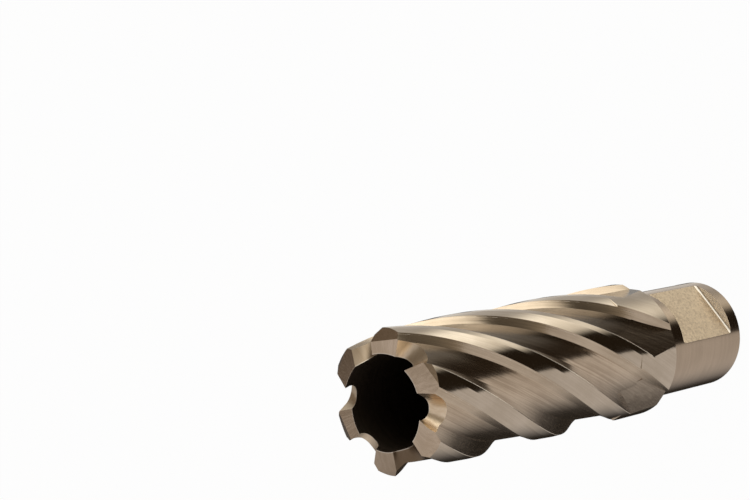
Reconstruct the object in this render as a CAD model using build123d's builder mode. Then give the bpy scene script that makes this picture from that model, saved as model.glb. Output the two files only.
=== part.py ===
from build123d import *
from build123d.topology import SkipClean
import os
from math import cos, radians, sin, tan

os.makedirs("parts", exist_ok=True)

# Annular cutter, all lengths in mm, angles in degrees.
# The axis is Z. The shank end face lies at z = 0 and the teeth point up.
# The first set-screw flat faces +X, the second one faces +Y.

# shank with its two set-screw flats
shank_d = 19.05
shank_len = 22.55
shank_end_chamfer = 0.5
flat_depth = 1.83
flat_start = 3.24
flat_len = 14.8
flat_fillet = 0.5
pilot_d = 6.35
pilot_chamfer = 0.6

# fluted body
body_d = 23.42
tip_z = 85.6
shoulder_chamfer = 1.0
core_d = 15.43
core_land = 9.0
core_relief = 0.25
core_floor_z = 28.0
core_floor_chamfer = 1.0

# right-hand helical flutes, angles as at z = 0 and growing up the helix
tooth_count = 6
lead = 128.75
rake_edge = -4.0
margin_edge = -10.3
heel_edge = -23.5
heel_drop = 0.26
slope_foot = -28.5
slope_foot_depth = 1.35
rake_foot = -53.0
rake_foot_depth = 1.86
rake_lean = 2.0
relief_start_z = 33.5

# rising floor where the grinding wheel left each flute
runout_azimuth = 48.1
runout_angle = 4.5
runout_depth = 0.8
runout_side_low = 2.1
runout_side_z = 30.6
runout_side_slope = 3.0

# gullets between the teeth
gullet_azimuth = -50.0
gullet_fall = 29.0
gullet_depth = 2.1
gullet_heel_angle = 58.0
gullet_heel_foot = 1.95
gullet_rake_angle = 18.0
gullet_rake_offset = 1.0
gullet_rake_splay = 23.0
gullet_rake_round = 0.56
gullet_heel_round = 0.3

# ground facets at the tooth tips, in two kinds that alternate
tooth_azimuth = -4.6
ridge_r = 9.7
ridge_outer_fall = 33.0
ridge_inner_fall = 6.0
ridge_back_fall = 7.5
slant_rise = 0.4
slant_fall = 15.7
slant_back_fall = 8.0
slant_edge_r = 10.9
slant_edge_fall = 33.0

# sizes that follow from the ones above
shank_r = shank_d / 2
body_r = body_d / 2
core_r = core_d / 2
pilot_r = pilot_d / 2
grip_bottom = flat_start + flat_fillet
grip_top = flat_start + flat_len - flat_fillet
pitch_angle = 360 / tooth_count
heel_r = body_r - heel_drop
slope_foot_r = body_r - slope_foot_depth
rake_foot_r = body_r - rake_foot_depth
blank_top = tip_z + 2.5 * slant_rise
grind_len = body_r * sin(radians(2 * pitch_angle / 3))
grind_lead = 0.3 * grind_len
grind_width = 1.2 * body_r
overrun = 2.0
flute_bottom = shank_len - overrun
flute_top = tip_z + overrun


def polar(radius, angle):
    return (radius * cos(radians(angle)), radius * sin(radians(angle)))


def twist(z):
    return 360 * z / lead


def radial_plane(distance):
    return Plane(origin=(distance, 0, tip_z), x_dir=(0, 1, 0), z_dir=(1, 0, 0))


def facet_plane(radius, height, fall, back_fall):
    normal = (tan(radians(fall)), -tan(radians(back_fall)), 1)
    return Plane(origin=(radius, 0, height), x_dir=(0, 1, 0), z_dir=normal)


# metal milled away over a set-screw flat, with a small radius along both ends
with BuildPart() as flat:
    with BuildSketch(Plane.YZ.offset(shank_r - flat_depth)):
        with Locations((0, flat_start + flat_len / 2)):
            Rectangle(2 * shank_r, flat_len)
    extrude(amount=2 * flat_depth)
    fillet(flat.edges().filter_by(Axis.Y).group_by(Axis.X)[0], flat_fillet)

# one flute: its full section swept along the helix, less the metal left under the rising floor
turn = twist(flute_bottom)
heel_out_angle = heel_edge + 1.6 * (heel_edge - slope_foot)
heel_out_r = heel_r + 1.6 * (heel_r - slope_foot_r)
runout_dir = (cos(radians(runout_azimuth)), sin(radians(runout_azimuth)))
runout_normal = (
    runout_dir[0] * cos(radians(runout_angle)),
    runout_dir[1] * cos(radians(runout_angle)),
    sin(radians(runout_angle)),
)
runout_r = body_r - runout_depth
runout_plane = Plane(
    origin=(runout_r * runout_dir[0], runout_r * runout_dir[1], shank_len),
    x_dir=(-runout_dir[1], runout_dir[0], 0),
    z_dir=runout_normal,
)
side_y = (runout_side_z - shank_len) / cos(radians(runout_angle))
side_reach = 10.0
with BuildPart() as flute:
    with BuildLine() as flute_axis:
        Line((0, 0, flute_bottom), (0, 0, flute_top))
    with BuildLine() as flute_guide:
        Helix(pitch=lead, height=flute_top - flute_bottom, radius=body_r, center=(0, 0, flute_bottom))
    with BuildSketch(Plane.XY.offset(flute_bottom)) as flute_section:
        with BuildLine():
            heel_out = polar(heel_out_r, turn + heel_out_angle)
            foot = polar(slope_foot_r, turn + slope_foot)
            floor_mid = polar((slope_foot_r + rake_foot_r) / 2, turn + (slope_foot + rake_foot) / 2)
            rake_low = polar(rake_foot_r, turn + rake_foot)
            rake_top = polar(body_r, turn + rake_edge - pitch_angle)
            rake_out = polar(body_r + overrun / 2, turn + rake_edge - pitch_angle - rake_lean)
            Line(heel_out, foot)
            ThreePointArc(foot, floor_mid, rake_low)
            ThreePointArc(rake_low, rake_top, rake_out)
            Polyline(rake_out, polar(body_r + 2 * overrun, turn + (slope_foot + rake_foot) / 2), heel_out)
        make_face()
    sweep(path=flute_axis.edges()[0], binormal=flute_guide.edges()[0])
    with BuildSketch(runout_plane):
        with BuildLine():
            Polyline(
                (runout_side_low + side_reach / runout_side_slope, side_y - side_reach),
                (runout_side_low - 3 * side_reach / runout_side_slope, side_y + 3 * side_reach),
                (-2 * body_r, side_y + 3 * side_reach),
                (-2 * body_r, side_y - 2 * side_reach),
                (runout_side_low + side_reach / runout_side_slope, side_y - 2 * side_reach),
                close=True,
            )
        make_face()
    extrude(amount=-2 * body_r, mode=Mode.SUBTRACT)

# clearance ground on each land behind its margin
relief_turn = twist(relief_start_z)
with BuildPart() as relief:
    with BuildLine() as relief_axis:
        Line((0, 0, relief_start_z), (0, 0, flute_top))
    with BuildLine() as relief_guide:
        Helix(pitch=lead, height=flute_top - relief_start_z, radius=body_r, center=(0, 0, relief_start_z))
    with BuildSketch(Plane.XY.offset(relief_start_z)):
        with BuildLine():
            crest = []
            for share in (-0.4, 0.5, 1.35):
                crest_angle = margin_edge + share * (heel_edge - margin_edge)
                crest.append(polar(body_r - share * heel_drop, relief_turn + crest_angle))
            ThreePointArc(*crest)
            Polyline(
                crest[2],
                polar(body_r + overrun, relief_turn + crest_angle),
                polar(body_r + overrun, relief_turn + margin_edge - 0.4 * (heel_edge - margin_edge)),
                crest[0],
            )
        make_face()
    sweep(path=relief_axis.edges()[0], binormal=relief_guide.edges()[0])

# one gullet, built over +X: it widens and deepens outward
with BuildPart() as gullet:
    for reach in (core_r - 1.7, body_r + 1.3):
        out = reach - core_r
        root = -gullet_depth - out * tan(radians(gullet_fall))
        rise = overrun - root
        rake_line = -gullet_rake_offset - out * tan(radians(gullet_rake_splay))
        rake_low_u = rake_line + root * tan(radians(gullet_rake_angle))
        rake_high_u = rake_line + overrun * tan(radians(gullet_rake_angle))
        heel_high_u = gullet_heel_foot + rise / tan(radians(gullet_heel_angle))
        with BuildSketch(radial_plane(reach)) as gullet_section:
            with BuildLine():
                Polyline(
                    (heel_high_u, overrun),
                    (gullet_heel_foot, root),
                    (rake_low_u, root),
                    (rake_high_u, overrun),
                    close=True,
                )
            make_face()
            corners = gullet_section.vertices().sort_by(Axis.Y)[0:2].sort_by(Axis.X)
            floor = gullet_heel_foot - rake_low_u
            fillet(corners[0], gullet_rake_round * floor * tan(radians(45 - gullet_rake_angle / 2)))
            corners = gullet_section.vertices().group_by(Axis.Y)[0].sort_by(Axis.X)
            fillet(corners[-1], gullet_heel_round * floor / tan(radians(gullet_heel_angle / 2)))
    loft(ruled=True)

# metal ground off one tooth of each kind, built with its cutting edge over +X
with BuildPart() as ridge_grind:
    for fall in (ridge_outer_fall, -ridge_inner_fall):
        with BuildSketch(facet_plane(ridge_r, tip_z, fall, ridge_back_fall)):
            with Locations((grind_lead - grind_len / 2, 0)):
                Rectangle(grind_len, grind_width)
        extrude(amount=grind_len / 2)
with BuildPart() as slant_grind:
    slant_edge_z = tip_z + slant_rise - (slant_edge_r - core_r) * tan(radians(slant_fall))
    for edge_r, edge_z, fall in (
        (core_r, tip_z + slant_rise, slant_fall),
        (slant_edge_r, slant_edge_z, slant_edge_fall),
    ):
        with BuildSketch(facet_plane(edge_r, edge_z, fall, slant_back_fall)):
            with Locations((grind_lead - grind_len / 2, 0)):
                Rectangle(grind_len, grind_width)
        extrude(amount=grind_len / 2)

# the cutter: a turned blank, then bored, flatted, fluted, gashed and ground.
# The shank's end collar, its gripping length and the land behind it stay separate faces.
with SkipClean(), BuildPart() as cutter:
    with BuildSketch():
        Circle(shank_r)
    extrude(amount=grip_bottom)
    chamfer(cutter.edges().group_by(Axis.Z)[0], shank_end_chamfer)
    with BuildSketch(Plane.XY.offset(grip_bottom)):
        Circle(shank_r)
    extrude(amount=grip_top - grip_bottom)
    with BuildSketch(Plane.XZ):
        with BuildLine():
            Polyline(
                (0, grip_top),
                (shank_r, grip_top),
                (shank_r, shank_len),
                (body_r - shoulder_chamfer, shank_len),
                (body_r, shank_len + shoulder_chamfer),
                (body_r, blank_top),
                (0, blank_top),
                close=True,
            )
        make_face()
    revolve(axis=Axis.Z)
    with BuildSketch(Plane.XZ):
        with BuildLine():
            Polyline(
                (0, core_floor_z),
                (core_r + core_relief - core_floor_chamfer, core_floor_z),
                (core_r + core_relief, core_floor_z + core_floor_chamfer),
                (core_r + core_relief, tip_z - core_land - core_relief),
                (core_r, tip_z - core_land),
                (core_r, blank_top + overrun),
                (0, blank_top + overrun),
                close=True,
            )
        make_face()
    revolve(axis=Axis.Z, mode=Mode.SUBTRACT)
    with BuildSketch(Plane.XZ):
        with BuildLine():
            Polyline(
                (0, -overrun),
                (pilot_r + pilot_chamfer + overrun, -overrun),
                (pilot_r, pilot_chamfer),
                (pilot_r, core_floor_z + overrun),
                (0, core_floor_z + overrun),
                close=True,
            )
        make_face()
    revolve(axis=Axis.Z, mode=Mode.SUBTRACT)
    with PolarLocations(0, 2, angular_range=180):
        add(flat.part, mode=Mode.SUBTRACT)
    with PolarLocations(0, tooth_count):
        add(flute.part, mode=Mode.SUBTRACT)
    with PolarLocations(0, tooth_count):
        add(relief.part, mode=Mode.SUBTRACT)
    with PolarLocations(0, tooth_count, start_angle=gullet_azimuth):
        add(gullet.part, mode=Mode.SUBTRACT)
    with PolarLocations(0, tooth_count // 2, start_angle=tooth_azimuth):
        add(slant_grind.part, mode=Mode.SUBTRACT)
    with PolarLocations(0, tooth_count // 2, start_angle=tooth_azimuth + pitch_angle):
        add(ridge_grind.part, mode=Mode.SUBTRACT)

cutter.part.label = "cutter"
export_step(cutter.part, "parts/cutter.step")
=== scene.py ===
"""A ground annular cutter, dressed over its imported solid.

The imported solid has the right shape, so the piece that is shown keeps its faces and gives each one the finish
of the cut that made it: turned, milled or ground along the helix. A face whose formula is known also gets its
exact normals. Those of the rake walls, the gullets and the ends of the flutes are then blended a little, for
the shading alone, so that the cuts run together as on a ground tool. Lengths are in metres and angles in
radians, unless a name or a comment says otherwise.
"""

from __future__ import annotations

import logging
import math
from dataclasses import dataclass, field, replace
from enum import Enum
from typing import Any, Mapping, Optional, Sequence, Union

import bpy
import numpy as np
from mathutils import Matrix, Vector
from numpy.typing import NDArray

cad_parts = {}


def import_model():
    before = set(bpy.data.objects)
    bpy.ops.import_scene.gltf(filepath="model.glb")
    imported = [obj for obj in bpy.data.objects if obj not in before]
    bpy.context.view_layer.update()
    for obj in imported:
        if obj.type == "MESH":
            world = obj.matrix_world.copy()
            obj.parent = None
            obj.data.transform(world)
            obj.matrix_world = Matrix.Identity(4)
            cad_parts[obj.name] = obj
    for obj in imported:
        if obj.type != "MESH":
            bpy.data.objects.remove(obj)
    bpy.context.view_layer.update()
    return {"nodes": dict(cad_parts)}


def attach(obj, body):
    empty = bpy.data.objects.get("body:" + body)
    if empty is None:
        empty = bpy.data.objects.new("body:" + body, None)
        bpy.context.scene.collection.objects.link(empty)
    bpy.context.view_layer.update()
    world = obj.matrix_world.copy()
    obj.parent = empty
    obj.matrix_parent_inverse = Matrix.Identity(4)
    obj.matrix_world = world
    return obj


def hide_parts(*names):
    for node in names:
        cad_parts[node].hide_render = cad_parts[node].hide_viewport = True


LOG = logging.getLogger("cutter")
MM = 0.001

Array = NDArray[np.float64]
Colour = tuple[float, float, float]
Triple = tuple[float, float, float]
Span = tuple[float, float]


class Lay(Enum):
    """The way that the tool marks of a finish run."""

    HELICAL = "along the flutes"
    TURNED = "round the axis"
    RADIAL = "outward from the axis"
    MATTE = "no direction"


# ---------------------------------------------------------------- shader maths


class Wire:
    """One output socket, on which Python's operators add Math nodes."""

    def __init__(self, board: "Board", socket: bpy.types.NodeSocket) -> None:
        """Keeps the socket and the board that its nodes go on."""
        self.board = board
        self.socket = socket

    def _math(self, operation: str, *values: "Feed") -> "Wire":
        """Adds one Math node on the given values."""
        node = self.board.add("ShaderNodeMath", {"operation": operation}, dict(enumerate(values)))
        return self.board.out(node)

    def __add__(self, other: "Feed") -> "Wire":
        """Sum."""
        return self._math("ADD", self, other)

    def __sub__(self, other: "Feed") -> "Wire":
        """Difference."""
        return self._math("SUBTRACT", self, other)

    def __rsub__(self, other: "Feed") -> "Wire":
        """Difference, reflected."""
        return self._math("SUBTRACT", other, self)

    def __mul__(self, other: "Feed") -> "Wire":
        """Product."""
        return self._math("MULTIPLY", self, other)

    def __truediv__(self, other: "Feed") -> "Wire":
        """Quotient."""
        return self._math("DIVIDE", self, other)

    def __rtruediv__(self, other: "Feed") -> "Wire":
        """Quotient, reflected."""
        return self._math("DIVIDE", other, self)

    def __neg__(self) -> "Wire":
        """Negative."""
        return self._math("MULTIPLY", self, -1.0)

    __radd__ = __add__
    __rmul__ = __mul__

    def sin(self) -> "Wire":
        """Sine."""
        return self._math("SINE", self)

    def cos(self) -> "Wire":
        """Cosine."""
        return self._math("COSINE", self)

    def root(self) -> "Wire":
        """Square root."""
        return self._math("SQRT", self)

    def size(self) -> "Wire":
        """Absolute value."""
        return self._math("ABSOLUTE", self)

    def angle(self, across: "Feed") -> "Wire":
        """The angle whose tangent is this value over the other one."""
        return self._math("ARCTAN2", self, across)

    def wrap(self, reach: float) -> "Wire":
        """The value brought between -reach and reach by whole steps."""
        return self._math("WRAP", self, reach, -reach)

    def ease(self, start: float, end: float) -> "Wire":
        """A smooth step.

        Args:
            start: the value at which the result is 0.
            end: the value at which the result is 1. It may be below start.

        Returns:
            A wire between 0 and 1.
        """
        node = self.board.add(
            "ShaderNodeMapRange",
            {"interpolation_type": "SMOOTHSTEP"},
            {"Value": self, "From Min": start, "From Max": end},
        )
        return self.board.out(node)


Feed = Union[Wire, float, Sequence[float]]

SCALE_SOCKET = 3  # the factor of a Vector Math node
COLOUR_SOCKETS = (6, 7)  # the two colours of a Mix node
COLOUR_RESULT = 2


class Board:
    """A node tree and the short ways to add to it."""

    def __init__(self, tree: bpy.types.NodeTree) -> None:
        """Empties the tree.

        Args:
            tree: the node tree of a material or a world.
        """
        tree.nodes.clear()
        self.tree = tree

    def add(self, kind: str, settings: Mapping[str, Any], sockets: Mapping[Any, Feed]) -> bpy.types.Node:
        """Adds one node of any kind.

        Args:
            kind: the node's type.
            settings: attributes that are set first.
            sockets: the value or the wire of each input, by name or number.

        Returns:
            The node.
        """
        node = self.tree.nodes.new(kind)
        for name, value in settings.items():
            setattr(node, name, value)
        for key, value in sockets.items():
            if isinstance(value, Wire):
                self.tree.links.new(value.socket, node.inputs[key])
            else:
                node.inputs[key].default_value = value
        return node

    def out(self, node: bpy.types.Node, name: Union[str, int] = 0) -> Wire:
        """One output of a node, as a wire."""
        return Wire(self, node.outputs[name])

    def split(self, vector: Wire) -> tuple[Wire, Wire, Wire]:
        """The three parts of a vector."""
        node = self.add("ShaderNodeSeparateXYZ", {}, {0: vector})
        return self.out(node, 0), self.out(node, 1), self.out(node, 2)

    def join(self, x: Feed, y: Feed, z: Feed) -> Wire:
        """A vector from its three parts."""
        return self.out(self.add("ShaderNodeCombineXYZ", {}, {0: x, 1: y, 2: z}))

    def vector(self, operation: str, *values: Feed) -> Wire:
        """One Vector Math node. A dot product comes as a number, and a scale's second value is its factor."""
        places = (0, SCALE_SOCKET) if operation == "SCALE" else range(len(values))
        node = self.add("ShaderNodeVectorMath", {"operation": operation}, dict(zip(places, values)))
        return self.out(node, "Value" if operation == "DOT_PRODUCT" else "Vector")

    def mix(self, share: Feed, first: Feed, second: Feed) -> Wire:
        """A colour between two colours.

        Args:
            share: 0 for the first colour, 1 for the second.
            first: a colour or a wire.
            second: a colour or a wire.

        Returns:
            The mixed colour.
        """
        node = self.add("ShaderNodeMix", {"data_type": "RGBA"}, {0: share})
        for key, value in zip(COLOUR_SOCKETS, (first, second)):
            if isinstance(value, Wire):
                self.tree.links.new(value.socket, node.inputs[key])
            else:
                node.inputs[key].default_value = (*value, 1.0)
        return self.out(node, COLOUR_RESULT)

    def noise(self, place: Wire, scale: float, detail: float = 2.0) -> Wire:
        """Fractal noise between about 0 and 1, at the given scale per metre of place."""
        node = self.add("ShaderNodeTexNoise", {}, {"Vector": place, "Scale": scale, "Detail": detail})
        return self.out(node, 0)


# ---------------------------------------------------------------- finishes


CUTTER_LEAD = 128.75 * MM
HELIX_RATE = 2 * math.pi / CUTTER_LEAD
BORE_RADIUS = 7.715 * MM
TOOTH_COUNT = 6
PAINTED_HIGHLIGHT: Colour = (0.86, 0.79, 0.70)
PAINTED_HIGHLIGHT_SHARE = 0.7
HONED_ROUGHNESS = 0.12
RIM_WIDTH = 0.2 * MM
DRAWN_OUT = 0.02  # how far a tool mark's noise still changes along the mark
MEAN_RADIUS = 9.5 * MM
RADIAL_DRIFT = 0.03
CLOUD_SIZE = 6 * MM
STREAK_SHARE = 0.3
STAIN_SPAN: Span = (0.38, 0.62)


@dataclass(frozen=True)
class Honed:
    """A helical edge that has been honed: its turned normal, and a painted highlight in its colour, show as a
    thin bright line.

    The place is an angle at height 0. The line faces outward and, by the side, with or against the turn. It
    starts above the flute's run-out and fades in over a short rise.
    """

    degrees: float
    width: float
    side: float
    least_radius: float
    lowest: float = 29.5 * MM
    rise: float = 1.5 * MM
    radius_fade: float = 0.05 * MM

    def tilt(self, board: Board, point: Wire, normal: Wire) -> tuple[Wire, Wire]:
        """Turns the normal along the edge.

        The angle off the edge, times the radius, is the distance d from it. The share of the honed normal is
        1 for d under half the width and falls to 0 at the full width.

        Args:
            board: the material's nodes.
            point: object coordinates.
            normal: the normal so far.

        Returns:
            The share of the honed strip and the new normal.
        """
        x, y, z = board.split(point)
        radius = (x * x + y * y).root()
        off = (y.angle(x) - z * HELIX_RATE - math.radians(self.degrees)).wrap(math.pi / TOOTH_COUNT)
        share = (off * radius).size().ease(self.width, self.width / 2)
        share = share * radius.ease(self.least_radius - self.radius_fade, self.least_radius)
        share = share * z.ease(self.lowest, self.lowest + self.rise)
        facing = board.vector("NORMALIZE", board.join(x - y * self.side, y + x * self.side, 0.0))
        kept = board.vector("SCALE", normal, 1.0 - share)
        honed = board.vector("ADD", kept, board.vector("SCALE", facing, share))
        return share, board.vector("NORMALIZE", honed)


@dataclass(frozen=True)
class PaintedShade:
    """Painted shade: a brown darkening round a middle angle, standing in for dark reflections and the contact
    shadow there. It fades out over a share of its half width.
    """

    degrees: float
    share: float
    half_width: float = 30.0
    fade: float = 0.2
    colour: Colour = (0.11, 0.07, 0.04)

    def over(self, board: Board, point: Wire, colour: Wire) -> Wire:
        """Lays the painted shade over a colour, strongest by its middle angle.

        Args:
            board: the material's nodes.
            point: object coordinates.
            colour: the colour so far.

        Returns:
            The tinted colour.
        """
        x, y, _ = board.split(point)
        off = (y.angle(x) - math.radians(self.degrees)).wrap(math.pi).size()
        edge = math.radians(self.half_width)
        return board.mix(off.ease(edge, edge * (1.0 - self.fade)) * self.share, colour, self.colour)


@dataclass(frozen=True)
class SteelFinish:
    """Bright steel as one kind of cut leaves it.

    The colour wanders between tint and stain. Fine lines and broad streaks follow the lay, as a height that
    bumps the surface and as a small change of roughness and colour. The line and the streak are the sizes of
    the marks. The lean tips the normals towards the shank, the grain is the lines' share in the colour, the
    painted rim highlight brightens the edge of the bore, and the painted shades darken the colour round set
    angles.
    """

    name: str
    lay: Lay
    tint: Colour
    stain: Colour
    roughness: float
    wander: float
    line: float
    line_height: float
    streak: float
    streak_height: float
    lean: float = 0.0
    grain: float = 0.2
    edges: tuple[Honed, ...] = ()
    painted_rim_highlight: bool = False
    painted_shades: tuple[PaintedShade, ...] = ()

    def place(self, board: Board, point: Wire) -> Wire:
        """The point as the noise reads it, drawn out along the lay.

        Along the flutes it is turned back by the helix, round the axis its turn is left out, and outward from
        the axis its radius is.

        Args:
            board: the material's nodes.
            point: object coordinates.

        Returns:
            A vector, still in metres.
        """
        x, y, z = board.split(point)
        if self.lay is Lay.HELICAL:
            turn = z * -HELIX_RATE
            c, s = turn.cos(), turn.sin()
            return board.join(x * c - y * s, x * s + y * c, z * DRAWN_OUT)
        radius = (x * x + y * y).root()
        if self.lay is Lay.TURNED:
            return board.join(x * DRAWN_OUT, y * DRAWN_OUT, z + radius)
        if self.lay is Lay.RADIAL:
            stretch = MEAN_RADIUS / radius + RADIAL_DRIFT
            return board.join(x * stretch, y * stretch, z)
        return point

    def material(self) -> bpy.types.Material:
        """Builds the finish.

        Returns:
            The material.
        """
        made = bpy.data.materials.new(self.name)
        made.use_nodes = True
        board = Board(made.node_tree)
        point = board.out(board.add("ShaderNodeTexCoord", {}, {}), "Object")
        place = self.place(board, point)
        lines = board.noise(place, 1 / self.line, 3.0)
        streaks = board.noise(place, 1 / self.streak, 2.0)
        clouds = board.noise(point, 1 / CLOUD_SIZE, 3.0)
        height = lines * (self.line_height / MM) + streaks * (self.streak_height / MM)
        normal = board.out(board.add("ShaderNodeNewGeometry", {}, {}), "Normal")
        if self.lean:
            normal = board.vector("NORMALIZE", board.vector("ADD", normal, (0.0, 0.0, -self.lean)))
        blend = clouds * (1.0 - STREAK_SHARE - self.grain) + streaks * STREAK_SHARE + lines * self.grain
        colour = board.mix(blend.ease(*STAIN_SPAN), self.tint, self.stain)
        rough = self.roughness + (streaks - 0.5) * self.wander + (clouds - 0.5) * self.wander
        # Painted shade: each one darkens the colour round its angle.
        for tint in self.painted_shades:
            colour = tint.over(board, point, colour)
        for edge in self.edges:
            share, normal = edge.tilt(board, point, normal)
            # Painted highlight: the honed strip's colour is brightened.
            colour = board.mix(share * PAINTED_HIGHLIGHT_SHARE, colour, PAINTED_HIGHLIGHT)
            rough = rough + share * HONED_ROUGHNESS
        # Painted highlight: the colour is brightened along the bore's edge.
        if self.painted_rim_highlight:
            x, y, _ = board.split(point)
            painted_rim_highlight = (x * x + y * y).root().ease(BORE_RADIUS + RIM_WIDTH, BORE_RADIUS)
            colour = board.mix(painted_rim_highlight * PAINTED_HIGHLIGHT_SHARE, colour, PAINTED_HIGHLIGHT)
        relief = {"Strength": 1.0, "Distance": MM, "Height": height, "Normal": normal}
        bump = board.add("ShaderNodeBump", {}, relief)
        shader = board.add(
            "ShaderNodeBsdfPrincipled",
            {},
            {"Base Color": colour, "Metallic": 1.0, "Roughness": rough, "Normal": board.out(bump)},
        )
        board.add("ShaderNodeOutputMaterial", {}, {"Surface": board.out(shader)})
        return made


CUTTING_EDGE = Honed(-4.0, 0.11 * MM, 1.0, 11.5 * MM)
HEEL_EDGE = Honed(-23.5, 0.09 * MM, -0.8, 11.3 * MM)


class Finish(Enum):
    """The finishes of the cutter, in the order of its material slots."""

    LAND = SteelFinish(
        "ground_lands", Lay.HELICAL, (0.67, 0.58, 0.47), (0.58, 0.495, 0.39), 0.12, 0.06,
        0.20 * MM, 0.002 * MM, 0.8 * MM, 0.005 * MM, edges=(CUTTING_EDGE, HEEL_EDGE),
    )
    HEEL = SteelFinish(
        "ground_heels", Lay.HELICAL, (0.66, 0.55, 0.42), (0.53, 0.43, 0.32), 0.20, 0.08,
        0.20 * MM, 0.007 * MM, 0.7 * MM, 0.018 * MM, edges=(CUTTING_EDGE, HEEL_EDGE),
    )
    FLUTE = SteelFinish(
        "ground_flutes", Lay.HELICAL, (0.72, 0.59, 0.44), (0.49, 0.38, 0.27), 0.18, 0.08,
        0.24 * MM, 0.008 * MM, 0.8 * MM, 0.022 * MM, 0.22, grain=0.45,
        painted_shades=(PaintedShade(26.0, 0.75, 40.0, 0.55, (0.13, 0.11, 0.09)),),
    )
    TOOTH = SteelFinish(
        "ground_teeth", Lay.RADIAL, (0.66, 0.54, 0.42), (0.54, 0.43, 0.32), 0.22, 0.08,
        0.16 * MM, 0.006 * MM, 0.5 * MM, 0.012 * MM, painted_rim_highlight=True,
        painted_shades=(PaintedShade(-140.0, 0.40), PaintedShade(100.0, 0.45)),
    )
    GULLET = SteelFinish(
        "ground_gullets", Lay.RADIAL, (0.98, 0.83, 0.64), (0.84, 0.68, 0.49), 0.34, 0.10,
        0.16 * MM, 0.006 * MM, 0.5 * MM, 0.010 * MM, painted_rim_highlight=True,
        painted_shades=(PaintedShade(-110.0, 0.90), PaintedShade(70.0, 0.66), PaintedShade(4.0, 0.45, 26.0, 0.5)),
    )
    SHANK = SteelFinish(
        "turned_shank", Lay.TURNED, (0.56, 0.45, 0.34), (0.50, 0.40, 0.30), 0.17, 0.06,
        0.14 * MM, 0.002 * MM, 0.5 * MM, 0.003 * MM,
    )
    FLAT = SteelFinish(
        "milled_flats", Lay.MATTE, (0.79, 0.665, 0.495), (0.58, 0.475, 0.35), 0.58, 0.10,
        0.30 * MM, 0.030 * MM, 0.7 * MM, 0.020 * MM, grain=0.5,
    )
    # Painted highlight: the end walls' colour is raised near white, brighter than the flats' milled steel.
    WALL = SteelFinish(
        "milled_walls", Lay.MATTE, (1.0, 0.95, 0.86), (0.96, 0.90, 0.80), 0.85, 0.08,
        0.30 * MM, 0.004 * MM, 0.7 * MM, 0.006 * MM, grain=0.5,
    )
    CORNER = SteelFinish(
        "milled_corners", Lay.MATTE, (1.0, 0.95, 0.86), (0.96, 0.90, 0.80), 0.24, 0.08,
        0.30 * MM, 0.004 * MM, 0.7 * MM, 0.006 * MM, grain=0.5,
    )
    BORE = SteelFinish(
        "turned_bore", Lay.TURNED, (0.22, 0.17, 0.13), (0.14, 0.11, 0.08), 0.45, 0.10,
        0.25 * MM, 0.010 * MM, 0.8 * MM, 0.010 * MM,
    )


# ---------------------------------------------------------------- the true faces of the cuts


def polar(radius: float, degrees: float) -> complex:
    """A point of a cross-section as a complex number."""
    return complex(radius * math.cos(math.radians(degrees)), radius * math.sin(math.radians(degrees)))


@dataclass(frozen=True)
class Arc:
    """A circular line of the flute's cross-section."""

    centre: complex
    radius: float

    @classmethod
    def through(cls, first: complex, second: complex, third: complex) -> "Arc":
        """The circle through three points, from the two chords' bisectors."""
        rows = np.array([[2 * (q - first).real, 2 * (q - first).imag] for q in (second, third)])
        sums = np.array([abs(q) ** 2 - abs(first) ** 2 for q in (second, third)])
        centre = complex(*np.linalg.solve(rows, sums))
        return cls(centre, abs(first - centre))

    def measure(self, points: NDArray[np.complex128]) -> tuple[Array, NDArray[np.complex128]]:
        """Distance off the line and unit normal at each point."""
        spoke = points - self.centre
        return np.abs(spoke) - self.radius, spoke / np.abs(spoke)


@dataclass(frozen=True)
class Chord:
    """A straight line of the flute's cross-section."""

    start: complex
    end: complex

    def measure(self, points: NDArray[np.complex128]) -> tuple[Array, NDArray[np.complex128]]:
        """Distance off the line and unit normal at each point."""
        normal = 1j * (self.end - self.start) / abs(self.end - self.start)
        return ((points - self.start) * np.conj(normal)).real, np.full(points.shape, normal)


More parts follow.
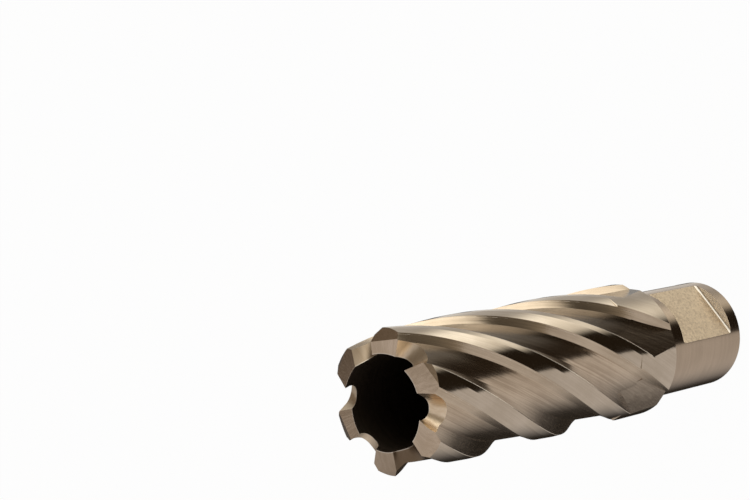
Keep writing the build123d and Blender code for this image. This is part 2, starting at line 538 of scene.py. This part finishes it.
@dataclass(frozen=True)
class HelicalFace:
    """One line of the cross-section carried up the helix, six times round.

    A point (x, y, z) is turned back by the angle w z, where w is one turn over the lead, and folded into one
    tooth's sector. With n the line's normal there and p the point, the face's normal is n turned forward
    again, with a part along the axis of -w (n_y p_x - n_x p_y). Where the wheel ran in from another face
    without a corner, that face's normals are blended in by a share, for the shading alone.
    """

    line: Union[Arc, Chord]
    sector_start: float
    finish: Finish
    run_in: Optional[HelicalFace] = None
    run_in_share: float = 0.0

    def measure(self, points: Array, lead: float, teeth: int) -> tuple[Array, Array]:
        """Compares points with the face.

        Args:
            points: places in the unit of the lead, one row each.
            lead: the helix's rise in one turn.
            teeth: how often the face repeats.

        Returns:
            The distance off the face and the unit normal, at each point.
        """
        rate = 2 * math.pi / lead
        flat = points[:, 0] + 1j * points[:, 1]
        sector = 2 * math.pi / teeth
        start = math.radians(self.sector_start)
        angle = np.mod(np.angle(flat) - rate * points[:, 2] - start, sector) + start
        place = np.abs(flat) * np.exp(1j * angle)
        distance, normal = self.line.measure(place)
        rise = -rate * (normal.imag * place.real - normal.real * place.imag)
        forward = normal * np.exp(1j * (np.angle(flat) - angle))
        rows = np.stack([forward.real, forward.imag, rise], axis=1)
        return distance, rows / np.linalg.norm(rows, axis=1, keepdims=True)

    def run_together(self, points: Array, normals: Array, lead: float, teeth: int) -> Array:
        """Mixes in the normals of the face that the wheel ran in from without a corner.

        Args:
            points: places in the unit of the lead, one row each.
            normals: this face's outward normals there.
            lead: the helix's rise in one turn.
            teeth: how often the face repeats.

        Returns:
            Outward unit normals.
        """
        if self.run_in is None:
            return normals
        other = self.run_in.measure(points, lead, teeth)[1]
        other *= np.sign((other[:, :2] * points[:, :2]).sum(axis=1, keepdims=True))
        mixed = (1 - self.run_in_share) * normals + self.run_in_share * other
        return mixed / np.linalg.norm(mixed, axis=1, keepdims=True)


@dataclass(frozen=True)
class RoundFace:
    """A turned cylinder round the axis, with the radial direction as its normal."""

    radius: float
    inward: bool
    finish: Finish

    def measure(self, points: Array, lead: float, teeth: int) -> tuple[Array, Array]:
        """Distance off the cylinder and unit normal at each point, as HelicalFace gives them."""
        rows = points * (1.0, 1.0, 0.0)
        length = np.linalg.norm(rows, axis=1, keepdims=True)
        sign = -1.0 if self.inward else 1.0
        return length[:, 0] - self.radius, sign * rows / np.maximum(length, 1e-9)


@dataclass(frozen=True)
class GulletSweep:
    """The even sweep that a grinding wheel leaves across a gullet. Lengths in millimetres, angles in degrees.

    A gullet is a trough that runs outward and falls at an angle f. With t across the trough, w upright on its
    floor and q the point as seen from an axis at the sweep's radius above the floor, the normal is that of a
    cylinder along the trough, n = -(q_t t + q_w w) / |q|. Only a share of it is blended in, and q_w stays
    below the axis by at least the crest's share of the radius.
    """

    azimuth: float = 10.0
    inner_radius: float = 7.715
    floor_height: float = 83.5
    fall: float = 29.0
    middle: float = 0.13
    splay: float = -0.3
    radius: float = 2.3
    share: float = 0.35
    crest: float = 0.3
    wall_depth: float = 1.2
    steepest_tooth: float = 0.7

    def blend(self, points: Array, normals: Array, teeth: int) -> Array:
        """Brings normals nearer to those of the sweep.

        Args:
            points: places on the gullets, one row each.
            normals: the normals there.
            teeth: how many gullets there are.

        Returns:
            Unit normals.
        """
        sector = 2 * math.pi / teeth
        angle = np.arctan2(points[:, 1], points[:, 0])
        local = np.mod(angle - math.radians(self.azimuth) + sector / 2, sector) - sector / 2
        length = np.hypot(points[:, 0], points[:, 1])
        out = length * np.cos(local) - self.inner_radius
        across = length * np.sin(local) - self.middle - self.splay * out
        fall = math.radians(self.fall)
        upright = out * math.sin(fall) + (points[:, 2] - self.floor_height) * math.cos(fall) - self.radius
        upright = np.minimum(upright, -self.crest * self.radius)
        base = angle - local
        outward = np.stack([np.cos(base), np.sin(base), np.zeros_like(base)], axis=1)
        aside = np.stack([-np.sin(base), np.cos(base), np.zeros_like(base)], axis=1)
        floor = outward * math.sin(fall) + np.array([0.0, 0.0, math.cos(fall)])
        swept = -(across[:, None] * aside + upright[:, None] * floor)
        swept /= np.linalg.norm(swept, axis=1, keepdims=True)
        mixed = self.share * swept + (1 - self.share) * normals
        return mixed / np.linalg.norm(mixed, axis=1, keepdims=True)

    def holds(self, middle: Array, own: Array) -> NDArray[np.bool_]:
        """Tells the triangles that lie in a gullet, steep or near its floor, from those on the teeth."""
        radius = np.hypot(middle[:, 0], middle[:, 1])
        floor = self.floor_height - math.tan(math.radians(self.fall)) * (radius - self.inner_radius)
        return (own[:, 2] < self.steepest_tooth) | (middle[:, 2] < floor + self.wall_depth)


@dataclass
class Cutter:
    """The cutter's body and shank, one piece of steel. Lengths in millimetres, angles in degrees.

    The flute's edges are angles at height 0. The run-in and run-out shares are how much of the floor's normal
    the rake walls and the flutes' ends take. A triangle matches a face within the match at its corners, the
    sag at its middle and the off angle of its normal. The cosines tell flat facets by how upright they face.
    """

    shank_radius: float = 9.525
    shank_length: float = 22.55
    flat_distance: float = 7.695
    flat_low: float = 3.24
    flat_high: float = 18.04
    body_radius: float = 11.71
    bore_radius: float = BORE_RADIUS / MM
    bore_relief_radius: float = 7.965
    tooth_floor: float = 80.0
    lead: float = CUTTER_LEAD / MM
    teeth: int = TOOTH_COUNT
    sweep: GulletSweep = field(default_factory=GulletSweep)
    rake_edge: float = -4.0
    rake_lean: float = 2.0
    rake_past: float = 1.0
    margin_edge: float = -10.3
    heel_edge: float = -23.5
    heel_drop: float = 0.26
    relief_shares: Triple = (-0.4, 0.5, 1.35)
    slope_past: float = 1.6
    slope_foot: float = -28.5
    slope_depth: float = 1.35
    rake_foot: float = -53.0
    rake_depth: float = 1.86
    rake_run_in: float = 0.75
    run_out_share: float = 0.25
    weld: float = 0.002
    match: float = 0.012
    sag: float = 0.03
    sag_weight: float = 0.2
    off_angle: float = 14.0
    off_scale: float = 0.03
    soft_edge: float = 12.0
    ledge_cosine: float = 0.9
    wall_cosine: float = 0.995
    corner_cosine: float = 0.2
    touch: float = 0.01
    graze: float = 0.02
    chamfer_top: float = 1.05
    bore_margin: float = 0.1
    bore_low: float = 0.7
    bore_outward: float = 0.2

    def cut_faces(self) -> list[Union[HelicalFace, RoundFace]]:
        """The faces whose formula is known.

        Returns:
            The lands, their relief, the heel slopes, the flutes' floors and walls, and the round faces.
        """
        outer = self.body_radius
        heel = outer - self.heel_drop
        foot = outer - self.slope_depth
        low = outer - self.rake_depth
        width = self.heel_edge - self.margin_edge
        relief = [
            polar(outer - share * self.heel_drop, self.margin_edge + share * width)
            for share in self.relief_shares
        ]
        slope_angle = self.heel_edge + self.slope_past * (self.heel_edge - self.slope_foot)
        slope_top = polar(heel + self.slope_past * (heel - foot), slope_angle)
        slope_foot = polar(foot, self.slope_foot)
        rake_foot = polar(low, self.rake_foot)
        floor_middle = polar((foot + low) / 2, (self.slope_foot + self.rake_foot) / 2)
        pitch = 360 / self.teeth
        rake_top = polar(outer, self.rake_edge - pitch)
        start = self.rake_edge - pitch - self.rake_lean
        rake = Arc.through(rake_foot, rake_top, polar(outer + self.rake_past, start))
        floor = HelicalFace(Arc.through(slope_foot, floor_middle, rake_foot), start, Finish.FLUTE)
        return [
            HelicalFace(Arc(0j, outer), start, Finish.LAND),
            HelicalFace(Arc.through(*relief), start, Finish.LAND),
            HelicalFace(Chord(slope_top, slope_foot), start, Finish.HEEL),
            floor,
            HelicalFace(rake, start, Finish.FLUTE, floor, self.rake_run_in),
            RoundFace(self.shank_radius, False, Finish.SHANK),
            RoundFace(self.bore_radius, True, Finish.BORE),
            RoundFace(self.bore_relief_radius, True, Finish.BORE),
        ]

    def welded(self, node: bpy.types.Object) -> tuple[Array, NDArray[np.int64]]:
        """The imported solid's points and triangles, with doubles merged.

        Args:
            node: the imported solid.

        Returns:
            Points in millimetres and the triangles' corners.
        """
        source = node.data
        source.calc_loop_triangles()
        raw = np.empty(len(source.vertices) * 3)
        source.vertices.foreach_get("co", raw)
        corners = np.empty(len(source.loop_triangles) * 3, np.int32)
        source.loop_triangles.foreach_get("vertices", corners)
        raw = raw.reshape(-1, 3) / MM
        cells = np.round(raw / self.weld).astype(np.int64)
        _, first, place = np.unique(cells, axis=0, return_index=True, return_inverse=True)
        triangles = place.reshape(-1)[corners.reshape(-1, 3)]
        whole = (triangles != np.roll(triangles, 1, axis=1)).all(axis=1)
        return raw[first], triangles[whole].astype(np.int64)

    def dressed(
        self, points: Array, triangles: NDArray[np.int64], soft: Array
    ) -> tuple[NDArray[np.int32], Array]:
        """Finds each triangle's finish and the normals at its corners.

        A triangle belongs to the face on which all its corners lie and whose normal is nearest its own. One
        that lies on no known face takes its finish from where it is, and keeps the soft normals.

        Args:
            points: the mesh's points in millimetres.
            triangles: the corners of each triangle.
            soft: normals to fall back on, one for each corner.

        Returns:
            The slot number of each triangle, and the normals, three for each triangle.
        """
        corners = points[triangles]
        own = np.cross(corners[:, 1] - corners[:, 0], corners[:, 2] - corners[:, 0])
        own /= np.maximum(np.linalg.norm(own, axis=1, keepdims=True), 1e-12)
        middle = corners.mean(axis=1)
        order = list(Finish)
        slots = self.zones(middle, own, order)
        normals = soft.reshape(-1, 3, 3).copy()
        best = np.full(len(triangles), np.inf)
        for face in self.cut_faces():
            off, exact = face.measure(corners.reshape(-1, 3), self.lead, self.teeth)
            exact = exact.reshape(-1, 3, 3)
            off_middle, exact_middle = face.measure(middle, self.lead, self.teeth)
            at_middle = (exact_middle * own).sum(axis=1)
            sagged = (np.abs(off_middle) - self.sag) * self.sag_weight
            gap = np.maximum(np.abs(off.reshape(-1, 3)).max(axis=1), sagged)
            score = gap / self.match + (1 - np.abs(at_middle)) / self.off_scale
            fits = (gap < self.match) & (np.abs(at_middle) > math.cos(math.radians(self.off_angle)))
            fits &= score < best
            if isinstance(face, HelicalFace):
                fits &= middle[:, 2] > self.shank_length
            best[fits] = score[fits]
            slots[fits] = order.index(face.finish)
            found = (exact * np.sign(at_middle)[:, None, None])[fits].reshape(-1, 3)
            if isinstance(face, HelicalFace):
                found = face.run_together(corners[fits].reshape(-1, 3), found, self.lead, self.teeth)
            normals[fits] = found.reshape(-1, 3, 3)
        self.finish_run_outs(corners, own, np.isinf(best), slots, normals)
        swept = np.flatnonzero((slots == order.index(Finish.GULLET)) & np.isinf(best))
        turned = self.sweep.blend(corners[swept].reshape(-1, 3), normals[swept].reshape(-1, 3), self.teeth)
        normals[swept] = turned.reshape(-1, 3, 3)
        return slots, normals

    def finish_run_outs(
        self, corners: Array, own: Array, free: NDArray[np.bool_], slots: NDArray[np.int32], normals: Array
    ) -> None:
        """Runs the ends of the flutes together with their floors, and the ends of the relief with the land.

        The relief ends in a small ledge that faces up the axis. Its normals are halfway between the axis and
        the outward direction, so that it shades as a rounded step.

        Args:
            corners: the corners of each triangle in millimetres.
            own: the triangles' own normals.
            free: which triangles lie on no known face.
            slots: the slot number of each triangle, changed in place.
            normals: the corner normals, changed in place.
        """
        order = list(Finish)
        free = free & (slots == order.index(Finish.FLUTE))
        is_ledge = own[:, 2] > self.ledge_cosine
        ledge = np.flatnonzero(free & is_ledge)
        slots[ledge] = order.index(Finish.LAND)
        outward = corners[ledge] * (1.0, 1.0, 0.0)
        rounded = outward / np.linalg.norm(outward, axis=2, keepdims=True) + (0.0, 0.0, 1.0)
        normals[ledge] = rounded / math.sqrt(2)
        end = np.flatnonzero(free & ~is_ledge)
        helical = [face for face in self.cut_faces() if isinstance(face, HelicalFace)]
        floor = next(face.run_in for face in helical if face.run_in)
        joined = replace(floor, run_in=floor, run_in_share=self.run_out_share)
        places, kept = corners[end].reshape(-1, 3), normals[end].reshape(-1, 3)
        normals[end] = joined.run_together(places, kept, self.lead, self.teeth).reshape(-1, 3, 3)

    def zones(self, middle: Array, own: Array, order: Sequence[Finish]) -> NDArray[np.int32]:
        """The finish of each triangle by its place alone.

        Above the shoulder's chamfer all is flute, and on the chamfer what faces up the axis is, since a flute
        runs out there.

        Args:
            middle: the triangles' middles in millimetres.
            own: the triangles' own normals.
            order: the finishes in slot order.

        Returns:
            A slot number for each triangle.
        """
        radius = np.hypot(middle[:, 0], middle[:, 1])
        height = middle[:, 2]
        outward = (middle[:, 0] * own[:, 0] + middle[:, 1] * own[:, 1]) / np.maximum(radius, 1e-9)
        slots = np.full(len(middle), order.index(Finish.SHANK), np.int32)
        run_out = (height > self.shank_length + self.graze) & (own[:, 2] > self.graze)
        above = (height > self.shank_length + self.chamfer_top) | run_out
        slots[above] = order.index(Finish.FLUTE)
        at_teeth = height > self.tooth_floor
        slots[at_teeth] = order.index(Finish.TOOTH)
        slots[at_teeth & self.sweep.holds(middle, own)] = order.index(Finish.GULLET)
        bore = (radius < self.bore_relief_radius + self.bore_margin) & (outward < self.bore_outward)
        bore &= (height < self.tooth_floor) & (height > self.bore_low)
        slots[bore] = order.index(Finish.BORE)
        in_flat = (height > self.flat_low - self.touch) & (height < self.flat_high + self.touch)
        in_flat &= np.maximum(middle[:, 0], middle[:, 1]) > self.flat_distance - self.touch
        slots[in_flat] = order.index(Finish.FLAT)
        slots[in_flat & (np.abs(own[:, 2]) > self.corner_cosine)] = order.index(Finish.CORNER)
        slots[in_flat & (np.abs(own[:, 2]) > self.wall_cosine)] = order.index(Finish.WALL)
        return slots

    def build(self, node: bpy.types.Object) -> bpy.types.Object:
        """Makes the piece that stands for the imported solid.

        Args:
            node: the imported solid.

        Returns:
            The dressed piece.
        """
        points, triangles = self.welded(node)
        mesh = bpy.data.meshes.new("ground_cutter")
        mesh.from_pydata((points * MM).tolist(), [], triangles.tolist())
        piece = bpy.data.objects.new("ground_cutter", mesh)
        bpy.context.scene.collection.objects.link(piece)
        for finish in Finish:
            mesh.materials.append(finish.value.material())
        mesh.shade_smooth()
        mesh.set_sharp_from_angle(angle=math.radians(self.soft_edge))
        weigh = piece.modifiers.new("weigh", "WEIGHTED_NORMAL")
        weigh.keep_sharp = True
        soft = np.empty(len(mesh.loops) * 3)
        ready = piece.evaluated_get(bpy.context.evaluated_depsgraph_get()).data
        ready.corner_normals.foreach_get("vector", soft)
        piece.modifiers.clear()
        slots, normals = self.dressed(points, triangles, soft.astype(np.float64))
        mesh.polygons.foreach_set("material_index", slots)
        mesh.normals_split_custom_set(normals.reshape(-1, 3).tolist())
        mesh.update()
        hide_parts("cutter")
        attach(piece, "root")
        return piece


# ---------------------------------------------------------------- the studio


@dataclass(frozen=True)
class Studio:
    """A pale table, an overhead soft box that reaches back, and a dark room behind the camera.

    The cutter stands on its shank, and the light is that of a cutter lying on a table: up, right and near are
    the directions of that table as the camera sees them. Each span gives the parts of a direction along up,
    right or near at which a light or a shade starts and at which it is full.
    """

    up: Triple = (0.7166, 0.6975, 0.0)
    right: Triple = (0.5067, -0.5206, -0.6872)
    near: Triple = (0.4793, -0.4925, 0.7264)
    table: Colour = (0.585, 0.55, 0.53)
    shade: Colour = (0.045, 0.040, 0.036)
    room: Colour = (0.019, 0.013, 0.008)
    front: Colour = (0.27, 0.235, 0.19)
    left: Colour = (0.16, 0.125, 0.095)
    low_glow: Colour = (0.30, 0.25, 0.19)
    box_rim: Colour = (0.98, 0.93, 0.84)
    soft_box: Colour = (1.76, 1.71, 1.59)
    back_wall: Colour = (0.55, 0.53, 0.51)
    backdrop: Colour = (0.78, 0.76, 0.73)
    far_dark: Colour = (0.020, 0.016, 0.012)
    front_near: Span = (0.05, 1.0)
    left_right: Span = (-0.35, -0.75)
    low_up: Span = (0.35, 0.0)
    low_near: Span = (0.1, 0.6)
    low_right: Span = (0.3, 0.7)
    wall_near: Span = (-0.48, -0.85)
    wall_up: Span = (-0.05, 0.38)
    wall_right: Span = (-0.6, 0.0)
    box_lift: float = 0.15
    box_lift_near: Span = (-0.3, 0.45)
    box_slant: float = 0.14
    box_slant_right: Span = (-0.2, 0.5)
    box_dip: float = 0.04
    box_dip_near: Span = (-0.2, -0.45)
    box_back_near: Span = (-0.80, -0.44)
    box_rim_up: Span = (0.44, 0.62)
    soft_box_up: Span = (0.60, 0.85)
    backdrop_near: Span = (-0.90, -0.985)
    backdrop_up: Span = (0.0, 0.1)
    shade_width: float = 0.55
    shade_under: Span = (0.0, 0.76)
    far_near: Span = (-0.50, -0.68)
    far_up: Span = (-0.60, -0.44)
    far_start: Span = (-0.3, 0.0)
    far_end: Span = (0.65, 0.25)
    horizon_up: Span = (0.035, 0.0)
    floor_span: float = 4.0
    floor_colour: Colour = (0.92, 0.92, 0.91)
    floor_glow: float = 0.97

    def world(self) -> None:
        """Lights the scene from all round, by direction, and keeps the background white."""
        made = bpy.data.worlds.new("studio")
        made.use_nodes = True
        bpy.context.scene.world = made
        board = Board(made.node_tree)
        ray = board.out(board.add("ShaderNodeTexCoord", {}, {}), "Generated")
        up = board.vector("DOT_PRODUCT", ray, self.up)
        near = board.vector("DOT_PRODUCT", ray, self.near)
        right = board.vector("DOT_PRODUCT", ray, self.right)
        left = right.ease(*self.left_right)
        room = board.mix(near.ease(*self.front_near), self.room, self.front)
        room = board.mix(left, room, self.left)
        low = up.ease(*self.low_up) * near.ease(*self.low_near) * right.ease(*self.low_right)
        room = board.mix(low, room, self.low_glow)
        wall = near.ease(*self.wall_near) * up.ease(*self.wall_up) * right.ease(*self.wall_right)
        colour = board.mix(wall, room, self.back_wall)
        lift = right.ease(*self.box_slant_right) * self.box_slant + self.box_lift
        edge = up - near.ease(*self.box_lift_near) * lift + near.ease(*self.box_dip_near) * self.box_dip
        inside = near.ease(*self.box_back_near) * (1.0 - left)
        colour = board.mix(edge.ease(*self.box_rim_up) * inside, colour, self.box_rim)
        colour = board.mix(edge.ease(*self.soft_box_up) * inside, colour, self.soft_box)
        behind = near.ease(*self.backdrop_near) * up.ease(*self.backdrop_up)
        colour = board.mix(behind, colour, self.backdrop)
        under = (-near - right.size() * self.shade_width).ease(*self.shade_under)
        table = board.mix(under, self.table, self.shade)
        far = near.ease(*self.far_near) * up.ease(*self.far_up)
        far = far * right.ease(*self.far_start) * right.ease(*self.far_end)
        table = board.mix(far, table, self.far_dark)
        colour = board.mix(up.ease(*self.horizon_up), colour, table)
        path = board.add("ShaderNodeLightPath", {}, {})
        colour = board.mix(board.out(path, "Is Camera Ray"), colour, (1.0, 1.0, 1.0))
        light = board.add("ShaderNodeBackground", {}, {"Color": colour, "Strength": 1.0})
        board.add("ShaderNodeOutputWorld", {}, {"Surface": board.out(light)})

    def floor(self) -> bpy.types.Object:
        """Lays the pale floor under the shank.

        Returns:
            The floor.
        """
        half = self.floor_span / 2
        mesh = bpy.data.meshes.new("floor")
        corners = [(-half, -half, 0), (half, -half, 0), (half, half, 0), (-half, half, 0)]
        mesh.from_pydata(corners, [], [(0, 1, 2, 3)])
        piece = bpy.data.objects.new("floor", mesh)
        bpy.context.scene.collection.objects.link(piece)
        made = bpy.data.materials.new("pale_floor")
        made.use_nodes = True
        board = Board(made.node_tree)
        matt = board.add("ShaderNodeBsdfDiffuse", {}, {"Color": (*self.floor_colour, 1.0)})
        glow = board.add("ShaderNodeEmission", {}, {"Color": (1.0, 1.0, 1.0, 1.0), "Strength": 1.0})
        path = board.add("ShaderNodeLightPath", {}, {})
        share = board.out(path, "Is Camera Ray") * self.floor_glow
        both = board.add("ShaderNodeMixShader", {}, {0: share, 1: board.out(matt), 2: board.out(glow)})
        board.add("ShaderNodeOutputMaterial", {}, {"Surface": board.out(both)})
        mesh.materials.append(made)
        piece.visible_glossy = False
        piece.visible_shadow = False
        return piece


@dataclass(frozen=True)
class Camera:
    """The camera at the photograph's viewing angle, found by fitting the cutter's outline."""

    place: Triple = (0.196234, -0.106225, 0.312572)
    across: Triple = (0.5066689, -0.5205904, -0.6872207)
    upward: Triple = (0.6452465, 0.7576357, -0.0982095)
    backward: Triple = (0.5717899, -0.3936671, 0.7197795)
    lens: float = 97.805
    sensor: float = 36.0

    def build(self) -> bpy.types.Object:
        """Adds the camera and makes it the scene's.

        Returns:
            The camera.
        """
        data = bpy.data.cameras.new("camera")
        data.lens = self.lens
        data.sensor_width = self.sensor
        data.clip_start = 0.01
        data.clip_end = 20.0
        camera = bpy.data.objects.new("camera", data)
        bpy.context.scene.collection.objects.link(camera)
        turn = Matrix((self.across, self.upward, self.backward)).transposed().to_4x4()
        turn.translation = Vector(self.place)
        camera.matrix_world = turn
        bpy.context.scene.camera = camera
        return camera


def main() -> None:
    """Builds the studio and the cutter and notes the sizes."""
    logging.basicConfig(level=logging.INFO, format="%(name)s: %(message)s")
    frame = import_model()
    Camera().build()
    studio = Studio()
    studio.world()
    studio.floor()
    piece = Cutter().build(frame["nodes"]["cutter"])
    LOG.info("%s: %d points, %d faces", piece.name, len(piece.data.vertices), len(piece.data.polygons))
    bpy.context.scene.view_settings.view_transform = "Standard"


if __name__ == "__main__":
    main()
